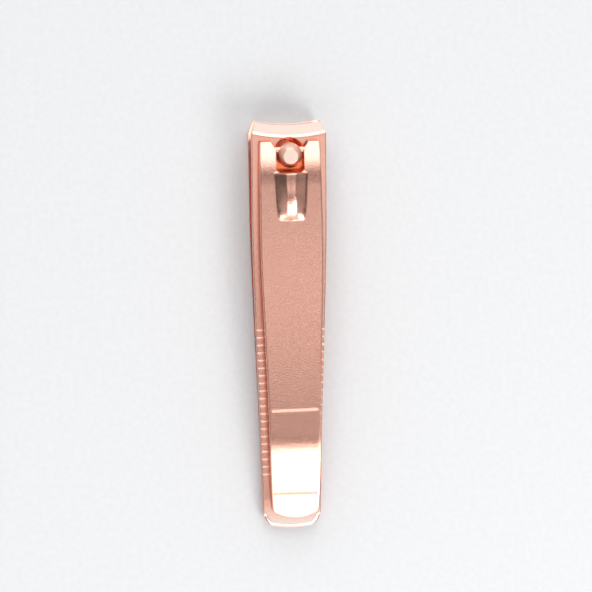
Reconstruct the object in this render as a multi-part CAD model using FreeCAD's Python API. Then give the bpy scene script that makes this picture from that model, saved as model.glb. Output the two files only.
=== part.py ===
import FreeCAD, Part
import math
import os

# Lever-type toenail clipper, stowed: the lever lies folded over the upper leaf.
# Millimetres. X is across the clipper, +Y points to the cutting jaws, +Z is up.
# Two bowed spring leaves are riveted at the tail. A leaning, headed post runs
# through both near the jaws, and the lever's cross-bar sits in the post's notch.

V = FreeCAD.Vector

# ---- leaves ----------------------------------------------------------------
LEAF_LENGTH = 82.0
LEAF_THICKNESS = 1.6
LEAF_EDGE_ROUND = 0.2
RIVET_FROM_TAIL = 6.0
KINK_AT_RIVET = 1.8          # degrees each leaf turns away where the rivet clamps it
FRONT_SLOPE = 3.8            # degrees between each leaf's straight front and the clamp plane
BOW_LENGTH = 44.0            # curved stretch between the rivet and the straight front
CLAMP_GAP = 0.04             # air between the leaves' clamped faces
TAIL_SAG = 0.8               # how far the tail end bulges
TAIL_CORNER_RADIUS = 1.6
CORNER_BULGE = (0.35, 0.68)  # middle of a tail corner from the side, in corner radii
TAIL_EDGE_ROUND = 0.9        # outer edge of the tail end, turned over by the press
TAIL_END_ZONE = 2.6          # the tail end's rounded edge lies within this of the end
SIDE_EDGE_FROM = 3.2         # the sides' broken edges start this far from the end
# half width of a leaf at distances from the jaw tips
WIDE_HALF = 7.42
WIDE_UNTIL = 21.0
TAPER = ((32.0, 7.19), (44.0, 6.82), (56.0, 6.40), (68.0, 6.04))
TAIL_HALF = 5.78

# ---- jaws ------------------------------------------------------------------
EDGE_HALF = 6.6              # half width of the cutting edge
EDGE_SAG = 0.75              # hollow of the cutting edge, seen from above
BEVEL_RUN = 1.95             # length of the ground outer bevel, seen from above
REST_POINT_FROM_TIP = 16.0   # where the underside's rest face is measured
JAW_DROP = 2.1               # how far the edge hooks in past the leaf's inner face
CREASE_ROUND = 0.75          # the crease between the bevel and the outer face
EDGE_SLOPE = 32.5            # slope of the inner face where it meets the edge
PAST_TIP = 1.5               # the outline's front edge runs this far ahead of the tips
CORNER_RUN = 2.55            # length of the chamfer at each jaw corner

# ---- ribbed grip on the upper leaf -----------------------------------------
RIB_COUNT = 20
RIB_PITCH = 1.539
RIB_FIRST = 41.7             # first groove, from the jaw tips
RIB_DEPTH = 0.03
RIB_RADIUS = 0.25

# ---- post ------------------------------------------------------------------
POST_FROM_TIP = 6.3          # post axis on the upper leaf's outer face
HOLE_FROM_TIP = 5.78         # centre of the roomy hole in the upper leaf
HOLE_RADIUS = 2.85
SHANK_RADIUS = 2.0
SHANK_CLEARANCE = 0.1
CROWN_RADIUS = 2.44
CROWN_BASE = 0.35            # underside of the crown above the upper leaf
CROWN_SHOULDER = 2.75        # where the crown starts to taper
CROWN_TOP = 4.7
CROWN_TOP_RADIUS = 1.45
CROWN_BULGE = 0.16           # how far the taper bows out
HEAD_RADIUS = 2.9
HEAD_CONE = 0.8
HEAD_RIM = 0.1
HEAD_DOME = 0.4
HEAD_INSET = 0.15            # the dome's middle stays this far inside the lower leaf's outer face
NOTCH_CLEARANCE = 0.1

# ---- lever, in the post's frame: +Y to the jaws along the leaf, +Z along the post
LEVER_THICKNESS = 1.4
LEVER_EDGE_ROUND = 0.25
BAR_FORWARD = 1.05           # cross-bar's centre in front of the post axis
BAR_HEIGHT = 1.98            # cross-bar's centre above the leaf
BAR_RADIUS = 0.62
NOSE_FORWARD = 2.75          # front edge in front of the post axis
NOSE_SLOPE = 15.0
NOSE_BEND_AT = -2.9
NOSE_BEND_RADIUS = 26.0
LEVER_SWING = 0.45           # degrees the post and lever are turned to one side as they lie
ARM_SLOPE_START = 3.0
ARM_SLOPE_END = 0.3
ARM_LENGTH = 50.5
HEEL_BEND_RADIUS = 26.0
HEEL_SLOPE = -9.0
HEEL_LENGTH = 17.0          # runs past the bowed end, which trims it
OPENING_HALF = 2.75
OPENING_REAR = -3.25
OPENING_CORNER = 0.55
MOUTH_HALF = 3.6             # half width between the shoulders at the front edge
MOUTH_STRAIGHT = 0.3
MOUTH_DEPTH = 1.4
BAR_SINK = 0.6               # how far the cross-bar runs into the shoulders
# half width of the lever at places along the post frame's Y
LEVER_SIDE = ((NOSE_FORWARD, 6.00), (-9.0, 6.17), (-19.0, 6.20), (-33.0, 5.80), (-57.0, 5.11), (-66.0, 4.92))
LEVER_END_HALF = 4.6
LEVER_END = -73.1
LEVER_END_SAG = 1.45
SHOULDER_RADIUS = 0.5
END_CORNER_RADIUS = 1.0

# ---- fulcrum tongue pressed up out of the lever ------------------------------
# place, half width of the flared foot, of the flanks' foot and of the top, height of the top
TONGUE_SECTIONS = (
    (-3.3, 3.40, 2.98, 1.05, 1.50),
    (-5.4, 3.32, 2.91, 1.00, 1.50),
    (-7.5, 3.20, 2.80, 0.95, 1.42),
    (-9.3, 3.10, 2.70, 0.92, 1.20),
    (-11.0, 2.92, 2.52, 0.90, 0.78),
    (-12.0, 2.72, 2.30, 0.88, 0.34),
    (-12.7, 2.30, 1.95, 0.80, -0.14),
)
TONGUE_CROWN = 0.12          # bulge of the tongue's top
TONGUE_FLARE = 0.18          # height of the flared foot where the flanks start
TONGUE_SINK = 0.03           # the flare starts this far inside the sheet

# ---- die marks across the lever ----------------------------------------------
DIE_MARKS = ((-50.6, 4.6, 1.0), (-67.8, 4.4, 0.1))   # place, half length, tilt in degrees
DIE_MARK_DEPTH = 0.09
DIE_MARK_RADIUS = 0.2

# ---- tail rivet ----------------------------------------------------------------
RIVET_RADIUS = 1.5
RIVET_CLEARANCE = 0.16
RIVET_HEAD_RADIUS = 2.5
RIVET_HEAD_LIFT = 0.22
RIVET_HEAD_HEIGHT = 0.8
RIVET_SINK = 0.85

LEAF_WIDTH_BLANK = 12.0      # half width of a leaf before it is trimmed
BIG = 200.0
DEEP = 20.0                  # how far a cutting prism reaches above and below
JAW_SWEEP = 60.0             # degrees that the jaw's section is turned through
NEARLY = 0.9                 # the share of a full size that still counts as that size
UPRIGHT_LEAN = 0.05          # sideways run allowed to an edge that stands upright
FLAT_ENOUGH = 0.01           # an edge this short along Y runs straight across
X_AXIS = V(1, 0, 0)
Z_AXIS = V(0, 0, 1)


# ---- small geometry helpers ----------------------------------------------------
def degrees_point(angle):
    """Unit vector in the YZ plane, turned up from +Y by an angle in degrees."""
    turned = math.radians(angle)
    return V(0, math.cos(turned), math.sin(turned))


def strip_stations(start, heading, pieces):
    """Stations along a strip of lines, arcs and sharp turns in the YZ plane.

    A station is (point, heading in, heading out, middle of the arc that leads to it or None).
    """
    stations = [(start, heading, heading, None)]
    for kind, amount, turn in pieces:
        point, before, heading, middle = stations[-1]
        if kind == "turn":
            stations[-1] = (point, before, heading + turn, middle)
        elif kind == "line":
            stations.append((point + degrees_point(heading) * amount, heading, heading, None))
        else:
            side = 90.0 if turn > 0 else -90.0
            centre = point + degrees_point(heading + side) * amount
            middle = centre - degrees_point(heading + turn / 2.0 + side) * amount
            end = centre - degrees_point(heading + turn + side) * amount
            stations.append((end, heading + turn, heading + turn, middle))
    return stations


def beside(station, offset):
    """Point at an offset to the left of a station, mitred where the strip turns sharply."""
    point, before, after, _ = station
    half_turn = math.radians(after - before) / 2.0
    return point + degrees_point((before + after) / 2.0 + 90.0) * (offset / math.cos(half_turn))


def offset_edges(stations, offset):
    """Edges that run beside the strip's stations, at an offset to its left."""
    edges = []
    for before, after in zip(stations, stations[1:]):
        begin = beside(before, offset)
        end = beside(after, offset)
        if after[3] is None:
            edges.append(Part.makeLine(begin, end))
        else:
            half_way = (before[2] + after[1]) / 2.0
            middle = after[3] + degrees_point(half_way + 90.0) * offset
            edges.append(Part.Arc(begin, middle, end).toShape())
    return edges


def strip_solid(stations, low, high, half_width):
    """Solid between two offsets of a strip, as wide as asked on both sides of X = 0."""
    lower = offset_edges(stations, low)
    upper = offset_edges(stations, high)
    start_edge = Part.makeLine(lower[0].Vertexes[0].Point, upper[0].Vertexes[0].Point)
    end_edge = Part.makeLine(lower[-1].Vertexes[-1].Point, upper[-1].Vertexes[-1].Point)
    wire = Part.Wire(Part.__sortEdges__(lower + [end_edge] + upper + [start_edge]))
    face = Part.Face(wire)
    face.translate(V(-half_width, 0, 0))
    return face.extrude(V(2.0 * half_width, 0, 0))


def closed_outline(right, across):
    """Closed outline from one side's edges, their mirror image in X = 0, and the ends between them."""
    left = [edge.mirror(V(0, 0, 0), X_AXIS) for edge in right]
    return Part.Wire(Part.__sortEdges__(right + left + across))


def end_arc(half, y_side, y_middle):
    """Bowed end between two side corners."""
    return Part.Arc(V(-half, y_side, 0), V(0, y_middle, 0), V(half, y_side, 0)).toShape()


def spline_edge(points):
    curve = Part.BSplineCurve()
    curve.interpolate([V(x, y, 0) for x, y in points])
    return curve.toShape()


def prism(wire, low, high):
    """Upright prism on an outline drawn in the XY plane."""
    face = Part.Face(wire)
    face.translate(V(0, 0, low))
    return face.extrude(V(0, 0, high - low))


def upright_cylinder(radius, y, low, high):
    return Part.makeCylinder(radius, high - low, V(0, y, low))


def sideways_cylinder(radius, half_length, y, z):
    return Part.makeCylinder(radius, 2.0 * half_length, V(-half_length, y, z), X_AXIS)


def rounded(shape, edges, radius):
    """Fillets the edges that take it, one group at a time, and keeps the solid valid."""
    try:
        result = shape.makeFillet(radius, edges)
        if result.isValid() and result.Volume > 0.5 * shape.Volume:
            return result
    except Part.OCCError:
        pass
    print("fillet skipped", len(edges), radius)
    return shape


# ---- the leaves, in the clamp frame: Y from the tail end, Z = 0 is the clamp plane ----
def leaf_stations():
    """Inner face of the upper leaf: clamped tail, bow, straight front."""
    bow_turn = FRONT_SLOPE - KINK_AT_RIVET
    return strip_stations(V(0, -1.0, 0), 0.0, [
        ("line", RIVET_FROM_TAIL + 1.0, 0.0),
        ("turn", 0.0, KINK_AT_RIVET),
        ("arc", BOW_LENGTH / math.radians(bow_turn), bow_turn),
        ("line", LEAF_LENGTH - RIVET_FROM_TAIL - BOW_LENGTH, 0.0),
    ])


LEAF_STATIONS = leaf_stations()
FRONT_START = LEAF_STATIONS[-2][0]
TIP_POINT = LEAF_STATIONS[-1][0]


def front_frame():
    """Placement of the straight front: origin on the inner face at the jaw tips, +Y out past them."""
    return FreeCAD.Placement(TIP_POINT, FreeCAD.Rotation(X_AXIS, FRONT_SLOPE))


def leaf_outline():
    """Leaf seen from above, with Y measured from the jaw tips and the tail at negative Y."""
    front_x = EDGE_HALF - (WIDE_HALF - EDGE_HALF) * PAST_TIP / CORNER_RUN
    end_half = TAIL_HALF - TAIL_CORNER_RADIUS
    end_y = -LEAF_LENGTH + TAIL_SAG * (end_half / TAIL_HALF) ** 2
    side_end = -LEAF_LENGTH + TAIL_SAG + TAIL_CORNER_RADIUS
    bulge_x, bulge_y = CORNER_BULGE
    corner = V(TAIL_HALF - bulge_x * TAIL_CORNER_RADIUS, side_end - bulge_y * TAIL_CORNER_RADIUS, 0)
    taper = [(WIDE_HALF, -WIDE_UNTIL)]
    taper += [(half, -place) for place, half in TAPER]
    taper += [(TAIL_HALF, side_end)]
    right = [
        Part.makeLine(V(front_x, PAST_TIP, 0), V(WIDE_HALF, -CORNER_RUN, 0)),
        Part.makeLine(V(WIDE_HALF, -CORNER_RUN, 0), V(WIDE_HALF, -WIDE_UNTIL, 0)),
        spline_edge(taper),
        Part.Arc(V(TAIL_HALF, side_end, 0), corner, V(end_half, end_y, 0)).toShape(),
    ]
    front = Part.makeLine(V(-front_x, PAST_TIP, 0), V(front_x, PAST_TIP, 0))
    return closed_outline(right, [front, end_arc(end_half, end_y, -LEAF_LENGTH)])


def jaw_ring():
    """The hooked, bevelled jaw: its section turned about an upright axis far in front of the tips."""
    ring_radius = (EDGE_HALF ** 2 + EDGE_SAG ** 2) / (2.0 * EDGE_SAG)
    hook_radius = JAW_DROP / (1.0 - math.cos(math.radians(EDGE_SLOPE)))
    hook_run = hook_radius * math.sin(math.radians(EDGE_SLOPE))
    edge = V(ring_radius, 0, -JAW_DROP)
    hook_end = V(ring_radius + hook_run, 0, 0)
    half_slope = math.radians(EDGE_SLOPE / 2.0)
    hook_middle = V(hook_end.x - hook_radius * math.sin(half_slope), 0,
                    -hook_radius * (1.0 - math.cos(half_slope)))
    back = ring_radius + hook_run + 2.0
    section = Part.Wire([
        Part.Arc(edge, hook_middle, hook_end).toShape(),
        Part.makeLine(hook_end, V(back, 0, 0)),
        Part.makeLine(V(back, 0, 0), V(back, 0, LEAF_THICKNESS)),
        Part.makeLine(V(back, 0, LEAF_THICKNESS), V(ring_radius + BEVEL_RUN, 0, LEAF_THICKNESS)),
        Part.makeLine(V(ring_radius + BEVEL_RUN, 0, LEAF_THICKNESS), edge),
    ])
    ring = Part.Face(section).revolve(V(0, 0, 0), Z_AXIS, JAW_SWEEP)
    ring.rotate(V(0, 0, 0), Z_AXIS, -90.0 - JAW_SWEEP / 2.0)
    centre_y = ring_radius - EDGE_SAG
    ring.translate(V(0, centre_y, 0))
    inner = upright_cylinder(back - 1.0, centre_y, -DEEP, DEEP)
    return ring, inner


def blank_leaf():
    """Upper leaf without holes, in the clamp frame."""
    plate = strip_solid(LEAF_STATIONS, 0.0, LEAF_THICKNESS, LEAF_WIDTH_BLANK)
    ring, inner = jaw_ring()
    frame = front_frame()
    ring.Placement = frame.multiply(ring.Placement)
    inner.Placement = frame.multiply(inner.Placement)
    body = plate.cut(inner).fuse(ring)
    outline = prism(leaf_outline(), -DEEP, 2.0 * DEEP)
    outline.translate(V(0, LEAF_LENGTH, 0))
    return single_solid(body.common(outline))


def edges_where(shape, test):
    return [edge for edge in shape.Edges if test(edge)]


def edge_middle(edge):
    return edge.valueAt((edge.FirstParameter + edge.LastParameter) / 2.0)


def runs_across(edge):
    """True for an edge that crosses a piece from side to side at one place along Y."""
    box = edge.optimalBoundingBox()
    return box.YLength < FLAT_ENOUGH and box.XLength > 2.0 * TAIL_CORNER_RADIUS


def on_outer_face(edge):
    """True for a leaf edge that lies on the outer face, up to the crease of the bevel."""
    return leaf_height_over_inner(edge_middle(edge)) > NEARLY * LEAF_THICKNESS


def leaf_height_over_inner(point):
    """Height of a point over a leaf's inner face, in the clamp frame."""
    if point.y <= RIVET_FROM_TAIL:
        return point.z
    bow_end = FRONT_START.y
    if point.y >= bow_end:
        return (point.z - FRONT_START.z) - (point.y - bow_end) * math.tan(math.radians(FRONT_SLOPE))
    share = (point.y - RIVET_FROM_TAIL) / (bow_end - RIVET_FROM_TAIL)
    slope_here = KINK_AT_RIVET + (FRONT_SLOPE - KINK_AT_RIVET) * share / 2.0
    return point.z - (point.y - RIVET_FROM_TAIL) * math.tan(math.radians(slope_here))


def rounded_leaf():
    """Leaf blank with its outer edges broken, as pressing, grinding and tumbling leave them."""
    leaf = blank_leaf()
    crease_y = LEAF_LENGTH - 1.0 - BEVEL_RUN
    tail = edges_where(leaf, lambda edge: on_outer_face(edge)
                       and edge.optimalBoundingBox().YMax < TAIL_END_ZONE)
    leaf = rounded(leaf, tail, TAIL_EDGE_ROUND)
    crease = edges_where(leaf, lambda edge: on_outer_face(edge) and edge_middle(edge).y > crease_y
                         and edge.Length > EDGE_HALF)
    leaf = rounded(leaf, crease, CREASE_ROUND)
    sides = edges_where(leaf, lambda edge: on_outer_face(edge) and not runs_across(edge)
                        and abs(edge_middle(edge).x) > NEARLY * TAIL_HALF
                        and edge_middle(edge).y > SIDE_EDGE_FROM)
    return rounded(leaf, sides, LEAF_EDGE_ROUND)


def post_place():
    """Placement of the post's frame: origin on the upper leaf's outer face, Z along the post."""
    frame = front_frame()
    foot = V(0, -POST_FROM_TIP, LEAF_THICKNESS)
    return frame.multiply(FreeCAD.Placement(foot, FreeCAD.Rotation()))


def swung_place():
    """The post's frame turned a little about the post, as the lever lies."""
    return post_place().multiply(FreeCAD.Placement(V(0, 0, 0), FreeCAD.Rotation(Z_AXIS, LEVER_SWING)))


def upper_jaw():
    """Upper leaf: roomy post hole, ribbed grip and clearance hole for the rivet."""
    leaf = rounded_leaf()
    hole = upright_cylinder(HOLE_RADIUS, -HOLE_FROM_TIP, -1.0, LEAF_THICKNESS + 1.0)
    hole.Placement = front_frame().multiply(hole.Placement)
    leaf = leaf.cut(hole)
    rivet_hole = upright_cylinder(RIVET_RADIUS + RIVET_CLEARANCE, RIVET_FROM_TAIL, -1.0, LEAF_THICKNESS + 1.0)
    leaf = leaf.cut(rivet_hole)
    leaf = leaf.cut(Part.makeCompound(rib_cutters()))
    leaf.translate(V(0, 0, CLAMP_GAP))
    return single_solid(leaf)


def rib_cutters():
    """Round cutters for the grip's grooves, sunk into the outer face along the bow."""
    cutters = []
    for index in range(RIB_COUNT):
        y = LEAF_LENGTH - RIB_FIRST - index * RIB_PITCH
        z = outer_face_height(y) + RIB_RADIUS - RIB_DEPTH
        cutters.append(sideways_cylinder(RIB_RADIUS, LEAF_WIDTH_BLANK, y, z))
    return cutters


def outer_face_height(y):
    """Height of the outer face over the clamp plane, found by stepping along the bow."""
    probe = V(0, y, 0)
    height = -leaf_height_over_inner(probe)
    return height + LEAF_THICKNESS


def lower_jaw():
    """Lower leaf: mirror image of the blank, with the post's seat and the rivet's countersink."""
    leaf = rounded_leaf().mirror(V(0, 0, 0), Z_AXIS)
    seat = post_seat()
    seat.Placement = post_place().multiply(seat.Placement)
    leaf = leaf.cut(seat)
    leaf = leaf.cut(rivet_stem(0.0))
    return single_solid(leaf)


# ---- post, in its own frame ----------------------------------------------------
def post_reach():
    """Distance along the post between the outer faces of the two leaves."""
    place = post_place()
    down = place.Rotation.multVec(V(0, 0, -1))
    normal = V(0, math.sin(math.radians(FRONT_SLOPE)), math.cos(math.radians(FRONT_SLOPE)))
    lower_tip = V(0, TIP_POINT.y, -TIP_POINT.z) - normal * LEAF_THICKNESS
    return (lower_tip - place.Base).dot(normal) / down.dot(normal)


def head_levels():
    """Heights of the head's rim and of the seat's outer end, on the post's axis."""
    rim_low = -post_reach() + HEAD_INSET + HEAD_DOME
    return rim_low, rim_low + HEAD_RIM


def post_seat():
    """Space the post needs in the lower leaf: a running hole and a countersink open to the outside."""
    rim_low, rim_high = head_levels()
    shank = SHANK_RADIUS + SHANK_CLEARANCE
    head = HEAD_RADIUS + SHANK_CLEARANCE
    hole = upright_cylinder(shank, 0, rim_low, 0)
    cone = Part.makeCone(head, shank, HEAD_CONE, V(0, 0, rim_high + SHANK_CLEARANCE))
    drum = upright_cylinder(head, 0, rim_low - LEAF_THICKNESS, rim_high + SHANK_CLEARANCE)
    return hole.fuse([cone, drum]).removeSplitter()


def post_stem():
    """Shank and countersunk head with a slightly domed face."""
    rim_low, rim_high = head_levels()
    shank = upright_cylinder(SHANK_RADIUS, 0, rim_low, CROWN_BASE)
    cone = Part.makeCone(HEAD_RADIUS, SHANK_RADIUS, HEAD_CONE, V(0, 0, rim_high))
    rim = upright_cylinder(HEAD_RADIUS, 0, rim_low, rim_high)
    dome_radius = (HEAD_RADIUS ** 2 + HEAD_DOME ** 2) / (2.0 * HEAD_DOME)
    ball = Part.makeSphere(dome_radius, V(0, 0, rim_low - HEAD_DOME + dome_radius))
    dome = ball.common(upright_cylinder(HEAD_RADIUS, 0, rim_low - HEAD_DOME - 1.0, rim_high))
    return shank.fuse([cone, rim, dome]).removeSplitter()


def crown():
    """Crown of the post: a drum that tapers to a small flat top."""
    waist = (CROWN_SHOULDER + CROWN_TOP) / 2.0
    bulge = (CROWN_RADIUS + CROWN_TOP_RADIUS) / 2.0 + CROWN_BULGE
    outline = [
        Part.makeLine(V(0, 0, CROWN_BASE), V(CROWN_RADIUS, 0, CROWN_BASE)),
        Part.makeLine(V(CROWN_RADIUS, 0, CROWN_BASE), V(CROWN_RADIUS, 0, CROWN_SHOULDER)),
        Part.Arc(V(CROWN_RADIUS, 0, CROWN_SHOULDER), V(bulge, 0, waist),
                 V(CROWN_TOP_RADIUS, 0, CROWN_TOP)).toShape(),
        Part.makeLine(V(CROWN_TOP_RADIUS, 0, CROWN_TOP), V(0, 0, CROWN_TOP)),
        Part.makeLine(V(0, 0, CROWN_TOP), V(0, 0, CROWN_BASE)),
    ]
    return Part.Face(Part.Wire(outline)).revolve(V(0, 0, 0), Z_AXIS, 360.0)


def pivot_post():
    """Headed post with the round-bottomed notch that holds the lever's cross-bar."""
    post = post_stem().fuse(crown())
    notch_radius = BAR_RADIUS + NOTCH_CLEARANCE
    notch = sideways_cylinder(notch_radius, CROWN_RADIUS + 1.0, BAR_FORWARD, BAR_HEIGHT)
    throat = Part.makeBox(2 * CROWN_RADIUS + 2.0, CROWN_RADIUS, 2 * notch_radius,
                          V(-CROWN_RADIUS - 1.0, BAR_FORWARD, BAR_HEIGHT - notch_radius))
    return single_solid(post.cut(notch).cut(throat))


# ---- rivet, in the clamp frame ---------------------------------------------------
def rivet_stem(lift):
    """Stem with its countersunk foot, flush with the lower leaf's outer face."""
    foot_radius = RIVET_RADIUS + RIVET_SINK
    stem = upright_cylinder(RIVET_RADIUS, RIVET_FROM_TAIL, -LEAF_THICKNESS, LEAF_THICKNESS + lift)
    foot = Part.makeCone(foot_radius, RIVET_RADIUS, RIVET_SINK, V(0, RIVET_FROM_TAIL, -LEAF_THICKNESS))
    return stem.fuse(foot)


def tail_rivet():
    """Rivet that clamps the leaves: countersunk below, domed button above."""
    stem = rivet_stem(RIVET_HEAD_LIFT + CLAMP_GAP)
    head_low = LEAF_THICKNESS + CLAMP_GAP + RIVET_HEAD_LIFT
    dome_radius = (RIVET_HEAD_RADIUS ** 2 + RIVET_HEAD_HEIGHT ** 2) / (2.0 * RIVET_HEAD_HEIGHT)
    ball = Part.makeSphere(dome_radius, V(0, RIVET_FROM_TAIL, head_low + RIVET_HEAD_HEIGHT - dome_radius))
    head_high = head_low + RIVET_HEAD_HEIGHT + 1.0
    slab = upright_cylinder(RIVET_HEAD_RADIUS + 1.0, RIVET_FROM_TAIL, head_low, head_high)
    return single_solid(stem.fuse(ball.common(slab)))


# ---- lever, in the post's frame ----------------------------------------------------
def lever_stations():
    """Middle line of the lever's sheet, from ahead of its front edge to past its end."""
    start = NOSE_FORWARD + 1.0
    start_height = BAR_HEIGHT - (start - BAR_FORWARD) * math.tan(math.radians(NOSE_SLOPE))
    turn = NOSE_SLOPE - ARM_SLOPE_START
    tangent = NOSE_BEND_RADIUS * math.tan(math.radians(turn / 2.0))
    nose_length = (start - NOSE_BEND_AT) / math.cos(math.radians(NOSE_SLOPE)) - tangent
    arm_turn = ARM_SLOPE_START - ARM_SLOPE_END
    # the strip runs backwards, so a rising slope is a heading below 180 degrees
    return strip_stations(V(0, start, start_height), 180.0 - NOSE_SLOPE, [
        ("line", nose_length, 0.0),
        ("arc", NOSE_BEND_RADIUS, turn),
        ("arc", ARM_LENGTH / math.radians(arm_turn), arm_turn),
        ("arc", HEEL_BEND_RADIUS, ARM_SLOPE_END - HEEL_SLOPE),
        ("line", HEEL_LENGTH, 0.0),
    ])


def lever_outline():
    """Lever seen along the post, with square corners and a bowed end."""
    front_half = LEVER_SIDE[0][1]
    end_y = LEVER_END + LEVER_END_SAG
    side = [(half, y) for y, half in LEVER_SIDE]
    side += [(LEVER_END_HALF, end_y)]
    front = Part.makeLine(V(-front_half, NOSE_FORWARD, 0), V(front_half, NOSE_FORWARD, 0))
    return closed_outline([spline_edge(side)], [front, end_arc(LEVER_END_HALF, end_y, LEVER_END)])


def opening_outline():
    """Opening round the post, with a wider mouth between the shoulders at the front."""
    cut = OPENING_CORNER
    points = [
        (MOUTH_HALF, NOSE_FORWARD + 1.0), (MOUTH_HALF, NOSE_FORWARD - MOUTH_STRAIGHT),
        (OPENING_HALF, NOSE_FORWARD - MOUTH_DEPTH),
        (OPENING_HALF, OPENING_REAR + cut), (OPENING_HALF - cut, OPENING_REAR),
    ]
    mirrored = [(-x, y) for x, y in reversed(points)]
    ring = points + mirrored + points[:1]
    return Part.makePolygon([V(x, y, 0) for x, y in ring])


def lever_top_height(y):
    """Height of the lever's top face at a place on its straight-looking arm."""
    probe = Part.makeLine(V(0, y, -DEEP), V(0, y, DEEP))
    heights = []
    for edge in offset_edges(lever_stations(), -LEVER_THICKNESS / 2.0):
        for vertex in probe.section(edge).Vertexes:
            heights.append(vertex.Z)
    return max(heights)


def tongue_section(y, foot_half, flank_half, top_half, rise):
    """Outline across the tongue: flared foot, sloping flanks and a gently bulging top."""
    face = lever_top_height(y)
    flare = min(TONGUE_FLARE, rise + TONGUE_CROWN)
    right = [
        V(foot_half, y, face - LEVER_THICKNESS / 2.0),
        V(foot_half, y, face - TONGUE_SINK),
        V(flank_half, y, face + flare),
        V(top_half, y, face + rise + TONGUE_CROWN),
    ]
    left = [V(-point.x, point.y, point.z) for point in right]
    top = Part.Arc(left[3], V(0, y, face + rise + 2.0 * TONGUE_CROWN), right[3]).toShape()
    flanks = [Part.makeLine(start, end) for start, end in zip(left, left[1:])]
    flanks += [top]
    flanks += [Part.makeLine(start, end) for start, end in zip(right[:0:-1], right[-2::-1])]
    return Part.Wire(flanks + [Part.makeLine(right[0], left[0])])


def tongue_solid():
    """Tongue as a loft from its open rim back to its root."""
    return Part.makeLoft([tongue_section(*section) for section in TONGUE_SECTIONS], True)


def lever():
    """Pressed lever: arched sheet, opening with its cross-bar, fulcrum tongue and die marks."""
    half = LEVER_THICKNESS / 2.0
    sheet = strip_solid(lever_stations(), -half, half, 2.0 * LEVER_END_HALF)
    sheet = single_solid(sheet.common(prism(lever_outline(), -DEEP, DEEP)))
    sheet = rounded(sheet, upright_corners(sheet, NOSE_FORWARD - 1.0, BIG), SHOULDER_RADIUS)
    sheet = rounded(sheet, upright_corners(sheet, -BIG, LEVER_END + 3.0), END_CORNER_RADIUS)
    sheet = rounded(sheet, edges_where(sheet, on_lever_rim), LEVER_EDGE_ROUND)
    tongue = tongue_solid()
    hollow = tongue.translated(V(0, 0, -LEVER_THICKNESS))
    raised = sheet.fuse(tongue).cut(hollow).cut(prism(opening_outline(), -DEEP, DEEP))
    bar = sideways_cylinder(BAR_RADIUS, OPENING_HALF + BAR_SINK, BAR_FORWARD, BAR_HEIGHT)
    return single_solid(raised.fuse(bar).cut(Part.makeCompound(die_mark_cutters())))


def upright_corners(shape, low_y, high_y):
    """Corner edges that run through the sheet's thickness between two places along Y."""
    return edges_where(shape, lambda edge: low_y < edge_middle(edge).y < high_y and stands_up(edge))


def stands_up(edge):
    """True for an edge that runs through the sheet's thickness."""
    start = edge.valueAt(edge.FirstParameter)
    end = edge.valueAt(edge.LastParameter)
    return (abs(start.x - end.x) < UPRIGHT_LEAN
            and NEARLY * LEVER_THICKNESS < edge.Length < LEVER_THICKNESS / NEARLY)


def on_lever_rim(edge):
    """True for the edges between the sheet's faces and its rim."""
    box = edge.optimalBoundingBox()
    inner_seam = box.YLength < FLAT_ENOUGH and NOSE_FORWARD - 1.0 > edge_middle(edge).y
    return not stands_up(edge) and not inner_seam and edge.Length > UPRIGHT_LEAN


def die_mark_cutters():
    """Two faint lines that the press leaves across the lever's top face."""
    cutters = []
    for y, half, tilt in DIE_MARKS:
        z = lever_top_height(y) + DIE_MARK_RADIUS - DIE_MARK_DEPTH
        mark = sideways_cylinder(DIE_MARK_RADIUS, half, y, z)
        mark.rotate(V(0, y, z), Z_AXIS, tilt)
        cutters.append(mark)
    return cutters


# ---- assembly ------------------------------------------------------------------------
def single_solid(shape):
    """The largest solid of a boolean's result, with merged faces."""
    solids = shape.removeSplitter().Solids
    return max(solids, key=lambda solid: solid.Volume)


def resting_slope():
    """Angle of the line under the lower leaf from the tail's edge to the crease at the jaws."""
    tail = V(0, TAIL_EDGE_ROUND, -LEAF_THICKNESS)
    crease = front_frame().multVec(V(0, -BEVEL_RUN, LEAF_THICKNESS))
    return math.degrees(math.atan2(crease.z + tail.z, crease.y - tail.y))


def rest_place(nodes):
    """Placement that lays the lower leaf's tail and crease on Z = 0, with the clipper centred."""
    level = FreeCAD.Placement(V(0, 0, 0), FreeCAD.Rotation(X_AXIS, resting_slope()))
    boxes = []
    for shape in nodes.values():
        turned = shape.copy()
        turned.Placement = level.multiply(turned.Placement)
        boxes.append(turned.optimalBoundingBox())
    y_middle = (min(box.YMin for box in boxes) + max(box.YMax for box in boxes)) / 2.0
    z_low = min(box.ZMin for box in boxes)
    return FreeCAD.Placement(V(0, -y_middle, -z_low), FreeCAD.Rotation()).multiply(level)


def build():
    """All pieces of the clipper at rest, and the placement that puts the clamp frame there."""
    nodes = {
        "upper_jaw": upper_jaw(),
        "lower_jaw": lower_jaw(),
        "tail_rivet": tail_rivet(),
        "pivot_post": pivot_post(),
        "lever": lever(),
    }
    for name in ("pivot_post", "lever"):
        nodes[name].Placement = swung_place().multiply(nodes[name].Placement)
    resting = rest_place(nodes)
    for shape in nodes.values():
        shape.Placement = resting.multiply(shape.Placement)
    return nodes, resting


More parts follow.
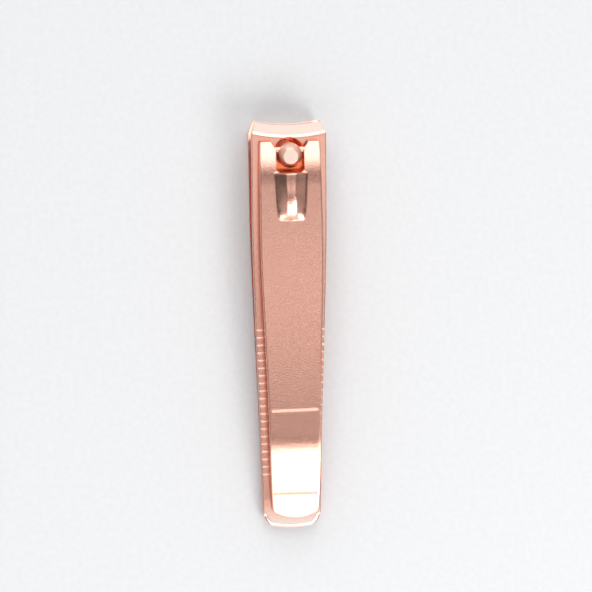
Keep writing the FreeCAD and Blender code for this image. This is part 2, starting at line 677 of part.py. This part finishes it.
if __name__ == "__main__":
    os.makedirs("parts", exist_ok=True)
    pieces, placed = build()
    for node, solid in pieces.items():
        solid.exportStep("parts/" + node + ".step")
        size = solid.optimalBoundingBox()
        print(node, solid.isValid(), round(solid.Volume, 2),
              [round(v, 3) for v in (size.XMin, size.XMax, size.YMin, size.YMax, size.ZMin, size.ZMax)])
    hinge = placed.multVec(V(0, RIVET_FROM_TAIL, CLAMP_GAP / 2.0))
    post_frame = placed.multiply(swung_place())
    bar = post_frame.multVec(V(0, BAR_FORWARD, BAR_HEIGHT))
    under = front_frame().multVec(V(0, -REST_POINT_FROM_TIP, LEAF_THICKNESS))
    underside = placed.multVec(V(0, under.y, -under.z))
    down = placed.Rotation.multVec(FreeCAD.Rotation(X_AXIS, -FRONT_SLOPE).multVec(-Z_AXIS))
    print("hinge", hinge, "post", post_frame.Base, "axis", post_frame.Rotation.multVec(Z_AXIS))
    print("bar", bar, "along", post_frame.Rotation.multVec(-X_AXIS))
    print("underside", underside, "facing", down)
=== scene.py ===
import math

import bpy
from mathutils import Matrix, Vector


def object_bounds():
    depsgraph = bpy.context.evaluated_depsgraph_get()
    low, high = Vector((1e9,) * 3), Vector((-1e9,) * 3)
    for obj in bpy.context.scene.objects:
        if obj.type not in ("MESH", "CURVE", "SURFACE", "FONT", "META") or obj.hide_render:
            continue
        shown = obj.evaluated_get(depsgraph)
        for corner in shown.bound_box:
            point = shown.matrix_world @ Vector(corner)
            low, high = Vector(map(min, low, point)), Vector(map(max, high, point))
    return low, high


# Looks of the lever-type toenail clipper: rose-gold plated steel on a plain pale surface, seen from
# above. Metres. +Y points to the jaws, +Z is up, and the floor is at the clipper's lowest point.

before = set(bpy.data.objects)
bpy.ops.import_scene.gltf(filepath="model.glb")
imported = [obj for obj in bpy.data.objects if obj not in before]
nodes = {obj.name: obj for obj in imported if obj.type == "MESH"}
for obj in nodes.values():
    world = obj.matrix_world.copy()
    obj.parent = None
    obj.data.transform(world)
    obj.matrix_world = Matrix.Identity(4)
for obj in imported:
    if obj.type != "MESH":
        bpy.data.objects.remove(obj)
cad_low, cad_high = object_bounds()

MM = 0.001

# ---- camera ------------------------------------------------------------------------------
CAMERA_DISTANCE = 0.60
CAMERA_FROM_LEFT = 4.8            # degrees off the vertical, towards -X
CAMERA_FROM_JAWS = 1.8            # degrees off the vertical, towards +Y
CAMERA_ROLL = 1.0
VIEW_WIDTH = 0.1180               # width of the picture at the clipper, in metres
AIM_RIGHT = 0.00116               # the picture's centre, right of the clipper's centre
AIM_JAWS = 0.0059                 # and towards the jaws
SENSOR = 36.0

# ---- light -------------------------------------------------------------------------------
# brightness of the surroundings by angle from straight up, towards the tail
ROOM_ALONG = (
    (-90, 2.3), (-62, 2.8), (-52, 2.8), (-16, 2.6), (-13, 2.2), (-9.4, 1.0), (-5.7, 0.42), (-1.4, 0.26),
    (4.0, 0.45), (7, 0.64), (8.5, 0.70), (10, 0.86), (11.3, 1.10), (12.7, 1.30), (14.2, 1.20), (15.2, 0.85),
    (16.0, 0.38), (16.8, 0.10), (18, 0.06), (22, 0.06), (24.5, 0.5), (27, 1.9), (29, 2.5), (50, 2.6),
    (66, 1.1), (90, 0.90),
)
# share of it by angle from straight up, to either side
ROOM_ACROSS = (
    (0, 1.0), (7, 1.0), (13, 1.3), (22, 1.2), (31, 0.28), (60, 0.22), (78, 0.16), (86, 0.7), (90, 0.9),
)
KEY_POWER = 2.2                   # watts
KEY_SIZE = 0.30
KEY_DISTANCE = 0.75
KEY_TOWARDS_TAIL = 38.0           # degrees off the vertical
KEY_TOWARDS_RIGHT = 30.0

FLOOR_HALF = 1.6

# ---- finishes and painted light ----------------------------------------------------------
ROSE = (0.94, 0.50, 0.39)
POST_ROSE = (0.86, 0.53, 0.41)
PAINTED_SHADE_ROSE = (0.72, 0.30, 0.19)    # painted shade in recesses, reddened as by reflections between the plated faces
BEVEL_SHEEN_ROSE = (1.00, 0.80, 0.69)    # painted reflection of the bright room on the jaws' sharpened bevels
RED_REFLECTION_ROSE = (1.00, 0.26, 0.10)    # painted orange-red reflection between the plated faces, on the leaves round the post
TAIL_SHEEN_ROSE = (1.00, 0.80, 0.72)    # painted highlight at the tail end
WORN_ROSE = (0.66, 0.55, 0.48)    # on the post's struck top
RECESS_REACH = 2.2 * MM           # how far off a surface still paints shade on another
LINE_SCALE = (5200.0, 220.0, 5200.0)
LINE_HEIGHT = 0.02 * MM
GRAIN_HEIGHT = 0.03 * MM
BEVEL_SHEEN_FROM = 37.5 * MM            # the sharpened bevels with their painted reflection lie past this, towards the jaws
TAIL_SHEEN_FROM = 36.0 * MM         # the painted highlight on the tail end starts this far from the middle
TAIL_SHEEN_FADE = 4.0 * MM
# where the painted orange-red reflection lies round the post
RED_REFLECTION_BEHIND_POST = 0.6 * MM
RED_REFLECTION_RADIUS = 3.7 * MM
RED_REFLECTION_FADE = 0.3 * MM
POST_AXIS = Vector((0.0, -0.118418, 0.992964))
POST_BASE = Vector((0.0, 34.1259, 10.9450)) * MM
CROWN_TOP = 4.66 * MM             # along the post's axis


# ---- node helpers --------------------------------------------------------------------------
def add(tree, kind, **settings):
    """New node with its plain settings, and its inputs by name under inputs=."""
    node = tree.nodes.new(kind)
    for name, value in settings.pop("inputs", {}).items():
        node.inputs[name].default_value = value
    for name, value in settings.items():
        setattr(node, name, value)
    return node


def join(tree, *chain):
    """Links (node, output) to (node, input) pairs, two at a time."""
    for source, target in zip(chain[::2], chain[1::2]):
        tree.links.new(source[0].outputs[source[1]], target[0].inputs[target[1]])


def ramp(tree, stops):
    """Colour ramp from (place 0 to 1, grey or colour) stops."""
    node = tree.nodes.new("ShaderNodeValToRGB")
    elements = node.color_ramp.elements
    while len(elements) > 1:
        elements.remove(elements[-1])
    for index, (place, value) in enumerate(stops):
        element = elements[0] if index == 0 else elements.new(place)
        element.position = place
        element.color = (value, value, value, 1) if isinstance(value, (int, float)) else (*value, 1)
    return node


def maths(tree, operation, first, second=None):
    """Math node on a (node, output) pair and another pair or a number."""
    node = add(tree, "ShaderNodeMath", operation=operation)
    for index, value in enumerate((first, second)):
        if isinstance(value, tuple):
            join(tree, value, (node, index))
        elif value is not None:
            node.inputs[index].default_value = value
    return node


# ---- metal ---------------------------------------------------------------------------------
def past_plane(tree, place, direction, distance, blend):
    """0 before a plane across a direction and 1 past it, blended over a short stretch."""
    reach = add(tree, "ShaderNodeVectorMath", operation="DOT_PRODUCT")
    reach.inputs[1].default_value = direction
    join(tree, place, (reach, 0))
    share = add(tree, "ShaderNodeMapRange")
    share.inputs["From Min"].default_value = distance
    share.inputs["From Max"].default_value = distance + blend
    join(tree, (reach, "Value"), (share, "Value"))
    return share, "Result"


def near_line(tree, place, centre, radius, blend):
    """1 within a radius of an upright line through a centre, blended to 0 outside it."""
    flat = add(tree, "ShaderNodeVectorMath", operation="MULTIPLY")
    flat.inputs[1].default_value = (1.0, 1.0, 0.0)
    away = add(tree, "ShaderNodeVectorMath", operation="DISTANCE")
    away.inputs[1].default_value = centre
    share = add(tree, "ShaderNodeMapRange", inputs={"To Min": 1.0, "To Max": 0.0})
    share.inputs["From Min"].default_value = radius
    share.inputs["From Max"].default_value = radius + blend
    join(tree, place, (flat, 0), (flat, "Vector"), (away, 0), (away, "Value"), (share, "Value"))
    return share, "Result"


def turning_into(tree, colour, share, new_colour):
    """Colour that turns into another where the share is 1."""
    mix = add(tree, "ShaderNodeMix", data_type="RGBA")
    tree.links.new(colour[0].outputs[colour[1]], mix.inputs[6])
    mix.inputs[7].default_value = (*new_colour, 1.0)
    tree.links.new(share[0].outputs[share[1]], mix.inputs[0])
    return mix, 2


def rose_gold(name, base, roughness, grain_scale, grain_depth, edge_round, blotch=0.06,
              bevel_sheen=None, struck=None, end_sheen=None, red_reflection=None):
    """Plated steel: fine grain in colour and height, faint long polishing lines, soft edges, and painted
    shade in recesses, where the metal turns deep orange-red.

    bevel_sheen is a pale colour painted on the faces sharpened towards the jaws, a painted reflection
    of the bright room. struck is (direction, distance, colour, roughness) for a face struck and scuffed
    past a plane. end_sheen is (direction, distance, fade, colour) for a painted highlight on the end
    past a plane. red_reflection is (centre, radius, fade) of the upright column in which the metal is
    painted orange-red, a painted reflection between the plated faces; it has no top or bottom.
    """
    material = bpy.data.materials.new(name)
    material.use_nodes = True
    tree = material.node_tree
    shader = tree.nodes["Principled BSDF"]
    shader.inputs["Metallic"].default_value = 1.0
    place = add(tree, "ShaderNodeTexCoord")

    grain = add(tree, "ShaderNodeTexNoise", inputs={"Scale": grain_scale, "Detail": 4.0, "Roughness": 0.7})
    join(tree, (place, "Object"), (grain, "Vector"))
    darker = tuple(value * (1.0 - blotch) for value in base)
    tint = ramp(tree, [(0.35, darker), (0.65, base)])
    join(tree, (grain, "Fac"), (tint, "Fac"))
    long_way = add(tree, "ShaderNodeMapping", inputs={"Scale": LINE_SCALE})
    join(tree, (place, "Object"), (long_way, "Vector"))
    lines = add(tree, "ShaderNodeTexNoise", inputs={"Scale": 1.0, "Detail": 2.0})
    join(tree, (long_way, "Vector"), (lines, "Vector"))

    # painted shade: the metal turns deep orange-red where other surfaces lie close by
    hidden = add(tree, "ShaderNodeAmbientOcclusion", samples=6, inputs={"Distance": RECESS_REACH})
    depth = ramp(tree, [(0.20, 1.0), (0.62, 0.0)])
    join(tree, (hidden, "AO"), (depth, "Fac"))
    colour = turning_into(tree, (tint, 0), (depth, 0), PAINTED_SHADE_ROSE)
    rough = ramp(tree, [(0.25, roughness * 0.85), (0.75, roughness * 1.2)])
    join(tree, (grain, "Fac"), (rough, "Fac"))
    finish = rough, 0
    # painted highlight: the end past the plane turns pale, as if catching the light from beyond the tail
    if end_sheen is not None:
        direction, distance, fade, sheen_colour = end_sheen
        past = past_plane(tree, (place, "Object"), direction, distance, fade)
        colour = turning_into(tree, colour, past, sheen_colour)
    # painted reflection: the leaves turn orange-red in an upright column round the post
    if red_reflection is not None:
        colour = turning_into(tree, colour, near_line(tree, (place, "Object"), *red_reflection), RED_REFLECTION_ROSE)
    # painted reflection: the bevels facing the jaws turn pale, as if mirroring the bright room
    if bevel_sheen is not None:
        facing = past_plane(tree, (place, "Normal"), (0.0, 1.0, 0.0), 0.45, 0.35)
        front = past_plane(tree, (place, "Object"), (0.0, 1.0, 0.0), BEVEL_SHEEN_FROM, 0.4 * MM)
        both = maths(tree, "MULTIPLY", facing, front)
        colour = turning_into(tree, colour, (both, 0), bevel_sheen)
    if struck is not None:
        direction, distance, struck_colour, struck_roughness = struck
        top = past_plane(tree, (place, "Object"), direction, distance, 0.06 * MM)
        colour = turning_into(tree, colour, top, struck_colour)
        finish = turning_into(tree, finish, top, (struck_roughness,) * 3)
    join(tree, colour, (shader, "Base Color"), finish, (shader, "Roughness"))

    soft_edge = add(tree, "ShaderNodeBevel", samples=4, inputs={"Radius": edge_round})
    long_bump = add(tree, "ShaderNodeBump", inputs={"Strength": 0.06, "Distance": LINE_HEIGHT})
    join(tree, (lines, "Fac"), (long_bump, "Height"), (soft_edge, "Normal"), (long_bump, "Normal"))
    bump = add(tree, "ShaderNodeBump", inputs={"Strength": grain_depth, "Distance": GRAIN_HEIGHT})
    join(tree, (grain, "Fac"), (bump, "Height"), (long_bump, "Normal"), (bump, "Normal"),
         (bump, "Normal"), (shader, "Normal"))
    return material


leaf_metal = rose_gold("leaf_rose_gold", ROSE, 0.17, 2600.0, 0.14, 0.25 * MM, bevel_sheen=BEVEL_SHEEN_ROSE,
                       end_sheen=((0.0, -1.0, 0.0), TAIL_SHEEN_FROM, TAIL_SHEEN_FADE, TAIL_SHEEN_ROSE),
                       red_reflection=((0.0, POST_BASE.y - RED_REFLECTION_BEHIND_POST, 0.0), RED_REFLECTION_RADIUS, RED_REFLECTION_FADE))
lever_metal = rose_gold("lever_rose_gold", ROSE, 0.15, 3400.0, 0.60, 0.45 * MM, blotch=0.16)
post_metal = rose_gold("post_rose_gold", POST_ROSE, 0.32, 2200.0, 0.10, 0.12 * MM,
                       struck=(POST_AXIS, POST_BASE.dot(POST_AXIS) + CROWN_TOP, WORN_ROSE, 0.50))
rivet_metal = rose_gold("rivet_rose_gold", ROSE, 0.18, 2200.0, 0.08, 0.12 * MM)


def dress(node, material):
    """Gives a CAD node its finish."""
    for slot in nodes[node].material_slots:
        slot.material = material


dress("lower_jaw", leaf_metal)
dress("upper_jaw", leaf_metal)
dress("lever", lever_metal)
dress("pivot_post", post_metal)
dress("tail_rivet", rivet_metal)


# ---- floor ---------------------------------------------------------------------------------
def pale_floor():
    """Plain matt surface under the clipper."""
    z = cad_low.z
    corners = [(x * FLOOR_HALF, y * FLOOR_HALF, z) for x, y in ((-1, -1), (1, -1), (1, 1), (-1, 1))]
    mesh = bpy.data.meshes.new("floor")
    mesh.from_pydata(corners, [], [(0, 1, 2, 3)])
    floor = bpy.data.objects.new("floor", mesh)
    bpy.context.scene.collection.objects.link(floor)
    material = bpy.data.materials.new("pale_floor")
    material.use_nodes = True
    tree = material.node_tree
    shader = tree.nodes["Principled BSDF"]
    shader.inputs["Roughness"].default_value = 0.55
    place = add(tree, "ShaderNodeTexCoord")
    mottle = add(tree, "ShaderNodeTexNoise", inputs={"Scale": 900.0, "Detail": 3.0})
    tint = ramp(tree, [(0.3, (0.525, 0.53, 0.54)), (0.7, (0.55, 0.555, 0.565))])
    join(tree, (place, "Object"), (mottle, "Vector"), (mottle, "Fac"), (tint, "Fac"),
         (tint, "Color"), (shader, "Base Color"))
    mesh.materials.append(material)


pale_floor()


# ---- surroundings and light ------------------------------------------------------------------
def surroundings():
    """Soft room light whose brightness changes with the angle along and across the clipper."""
    world = bpy.data.worlds.new("studio")
    bpy.context.scene.world = world
    world.use_nodes = True
    tree = world.node_tree
    background = tree.nodes["Background"]
    background.inputs["Color"].default_value = (1.0, 1.0, 1.0, 1.0)
    place = add(tree, "ShaderNodeTexCoord")
    parts = add(tree, "ShaderNodeSeparateXYZ")
    join(tree, (place, "Generated"), (parts, "Vector"))
    up = maths(tree, "ABSOLUTE", (parts, "Z"))
    backwards = maths(tree, "MULTIPLY", (parts, "Y"), -1.0)
    along = maths(tree, "ARCTAN2", (backwards, 0), (up, 0))
    along_share = maths(tree, "MULTIPLY", (along, 0), 1.0 / math.pi)
    along_place = maths(tree, "ADD", (along_share, 0), 0.5)
    strength = max(value for _, value in ROOM_ALONG)
    along_ramp = ramp(tree, [((angle + 90.0) / 180.0, value / strength) for angle, value in ROOM_ALONG])
    join(tree, (along_place, 0), (along_ramp, "Fac"))
    sideways = maths(tree, "ABSOLUTE", (parts, "X"))
    side_angle = maths(tree, "ARCSINE", (sideways, 0))
    side_place = maths(tree, "MULTIPLY", (side_angle, 0), 2.0 / math.pi)
    side_ramp = ramp(tree, [(angle / 90.0, value) for angle, value in ROOM_ACROSS])
    join(tree, (side_place, 0), (side_ramp, "Fac"))
    together = maths(tree, "MULTIPLY", (along_ramp, "Color"), (side_ramp, "Color"))
    total = maths(tree, "MULTIPLY", (together, 0), strength)
    join(tree, (total, 0), (background, "Strength"))


def area_light(name, towards_tail, towards_right, distance, size, power):
    """Square soft light, aimed at the clipper, placed by its angles from straight up."""
    data = bpy.data.lights.new(name, "AREA")
    data.size = size
    data.energy = power
    light = bpy.data.objects.new(name, data)
    bpy.context.scene.collection.objects.link(light)
    right = math.tan(math.radians(towards_right))
    tail = math.tan(math.radians(towards_tail))
    direction = Vector((right, -tail, 1.0))
    direction.normalize()
    centre = (cad_low + cad_high) / 2.0
    light.location = centre + direction * distance
    light.rotation_mode = "QUATERNION"
    light.rotation_quaternion = (-direction).to_track_quat("-Z", "Y")


surroundings()
area_light("key", KEY_TOWARDS_TAIL, KEY_TOWARDS_RIGHT, KEY_DISTANCE, KEY_SIZE, KEY_POWER)


# ---- camera ------------------------------------------------------------------------------------
def camera_above():
    """Long lens, nearly straight above, rolled a little."""
    data = bpy.data.cameras.new("camera")
    data.sensor_width = SENSOR
    data.lens = SENSOR * CAMERA_DISTANCE / VIEW_WIDTH
    data.clip_start = 0.01
    data.clip_end = 50.0
    camera = bpy.data.objects.new("camera", data)
    bpy.context.scene.collection.objects.link(camera)
    middle = (cad_low + cad_high) / 2.0
    aim = Vector((middle.x + AIM_RIGHT, middle.y + AIM_JAWS, middle.z))
    left = math.tan(math.radians(CAMERA_FROM_LEFT))
    jaws = math.tan(math.radians(CAMERA_FROM_JAWS))
    back = Vector((-left, jaws, 1.0))
    back.normalize()
    roll = math.radians(CAMERA_ROLL)
    up = Vector((math.sin(roll), math.cos(roll), 0.0))
    right = up.cross(back).normalized()
    up = back.cross(right)
    turn = Matrix((right, up, back)).transposed()
    camera.matrix_world = Matrix.Translation(aim + back * CAMERA_DISTANCE) @ turn.to_4x4()
    bpy.context.scene.camera = camera


camera_above()
bpy.context.scene.view_settings.view_transform = "Standard"
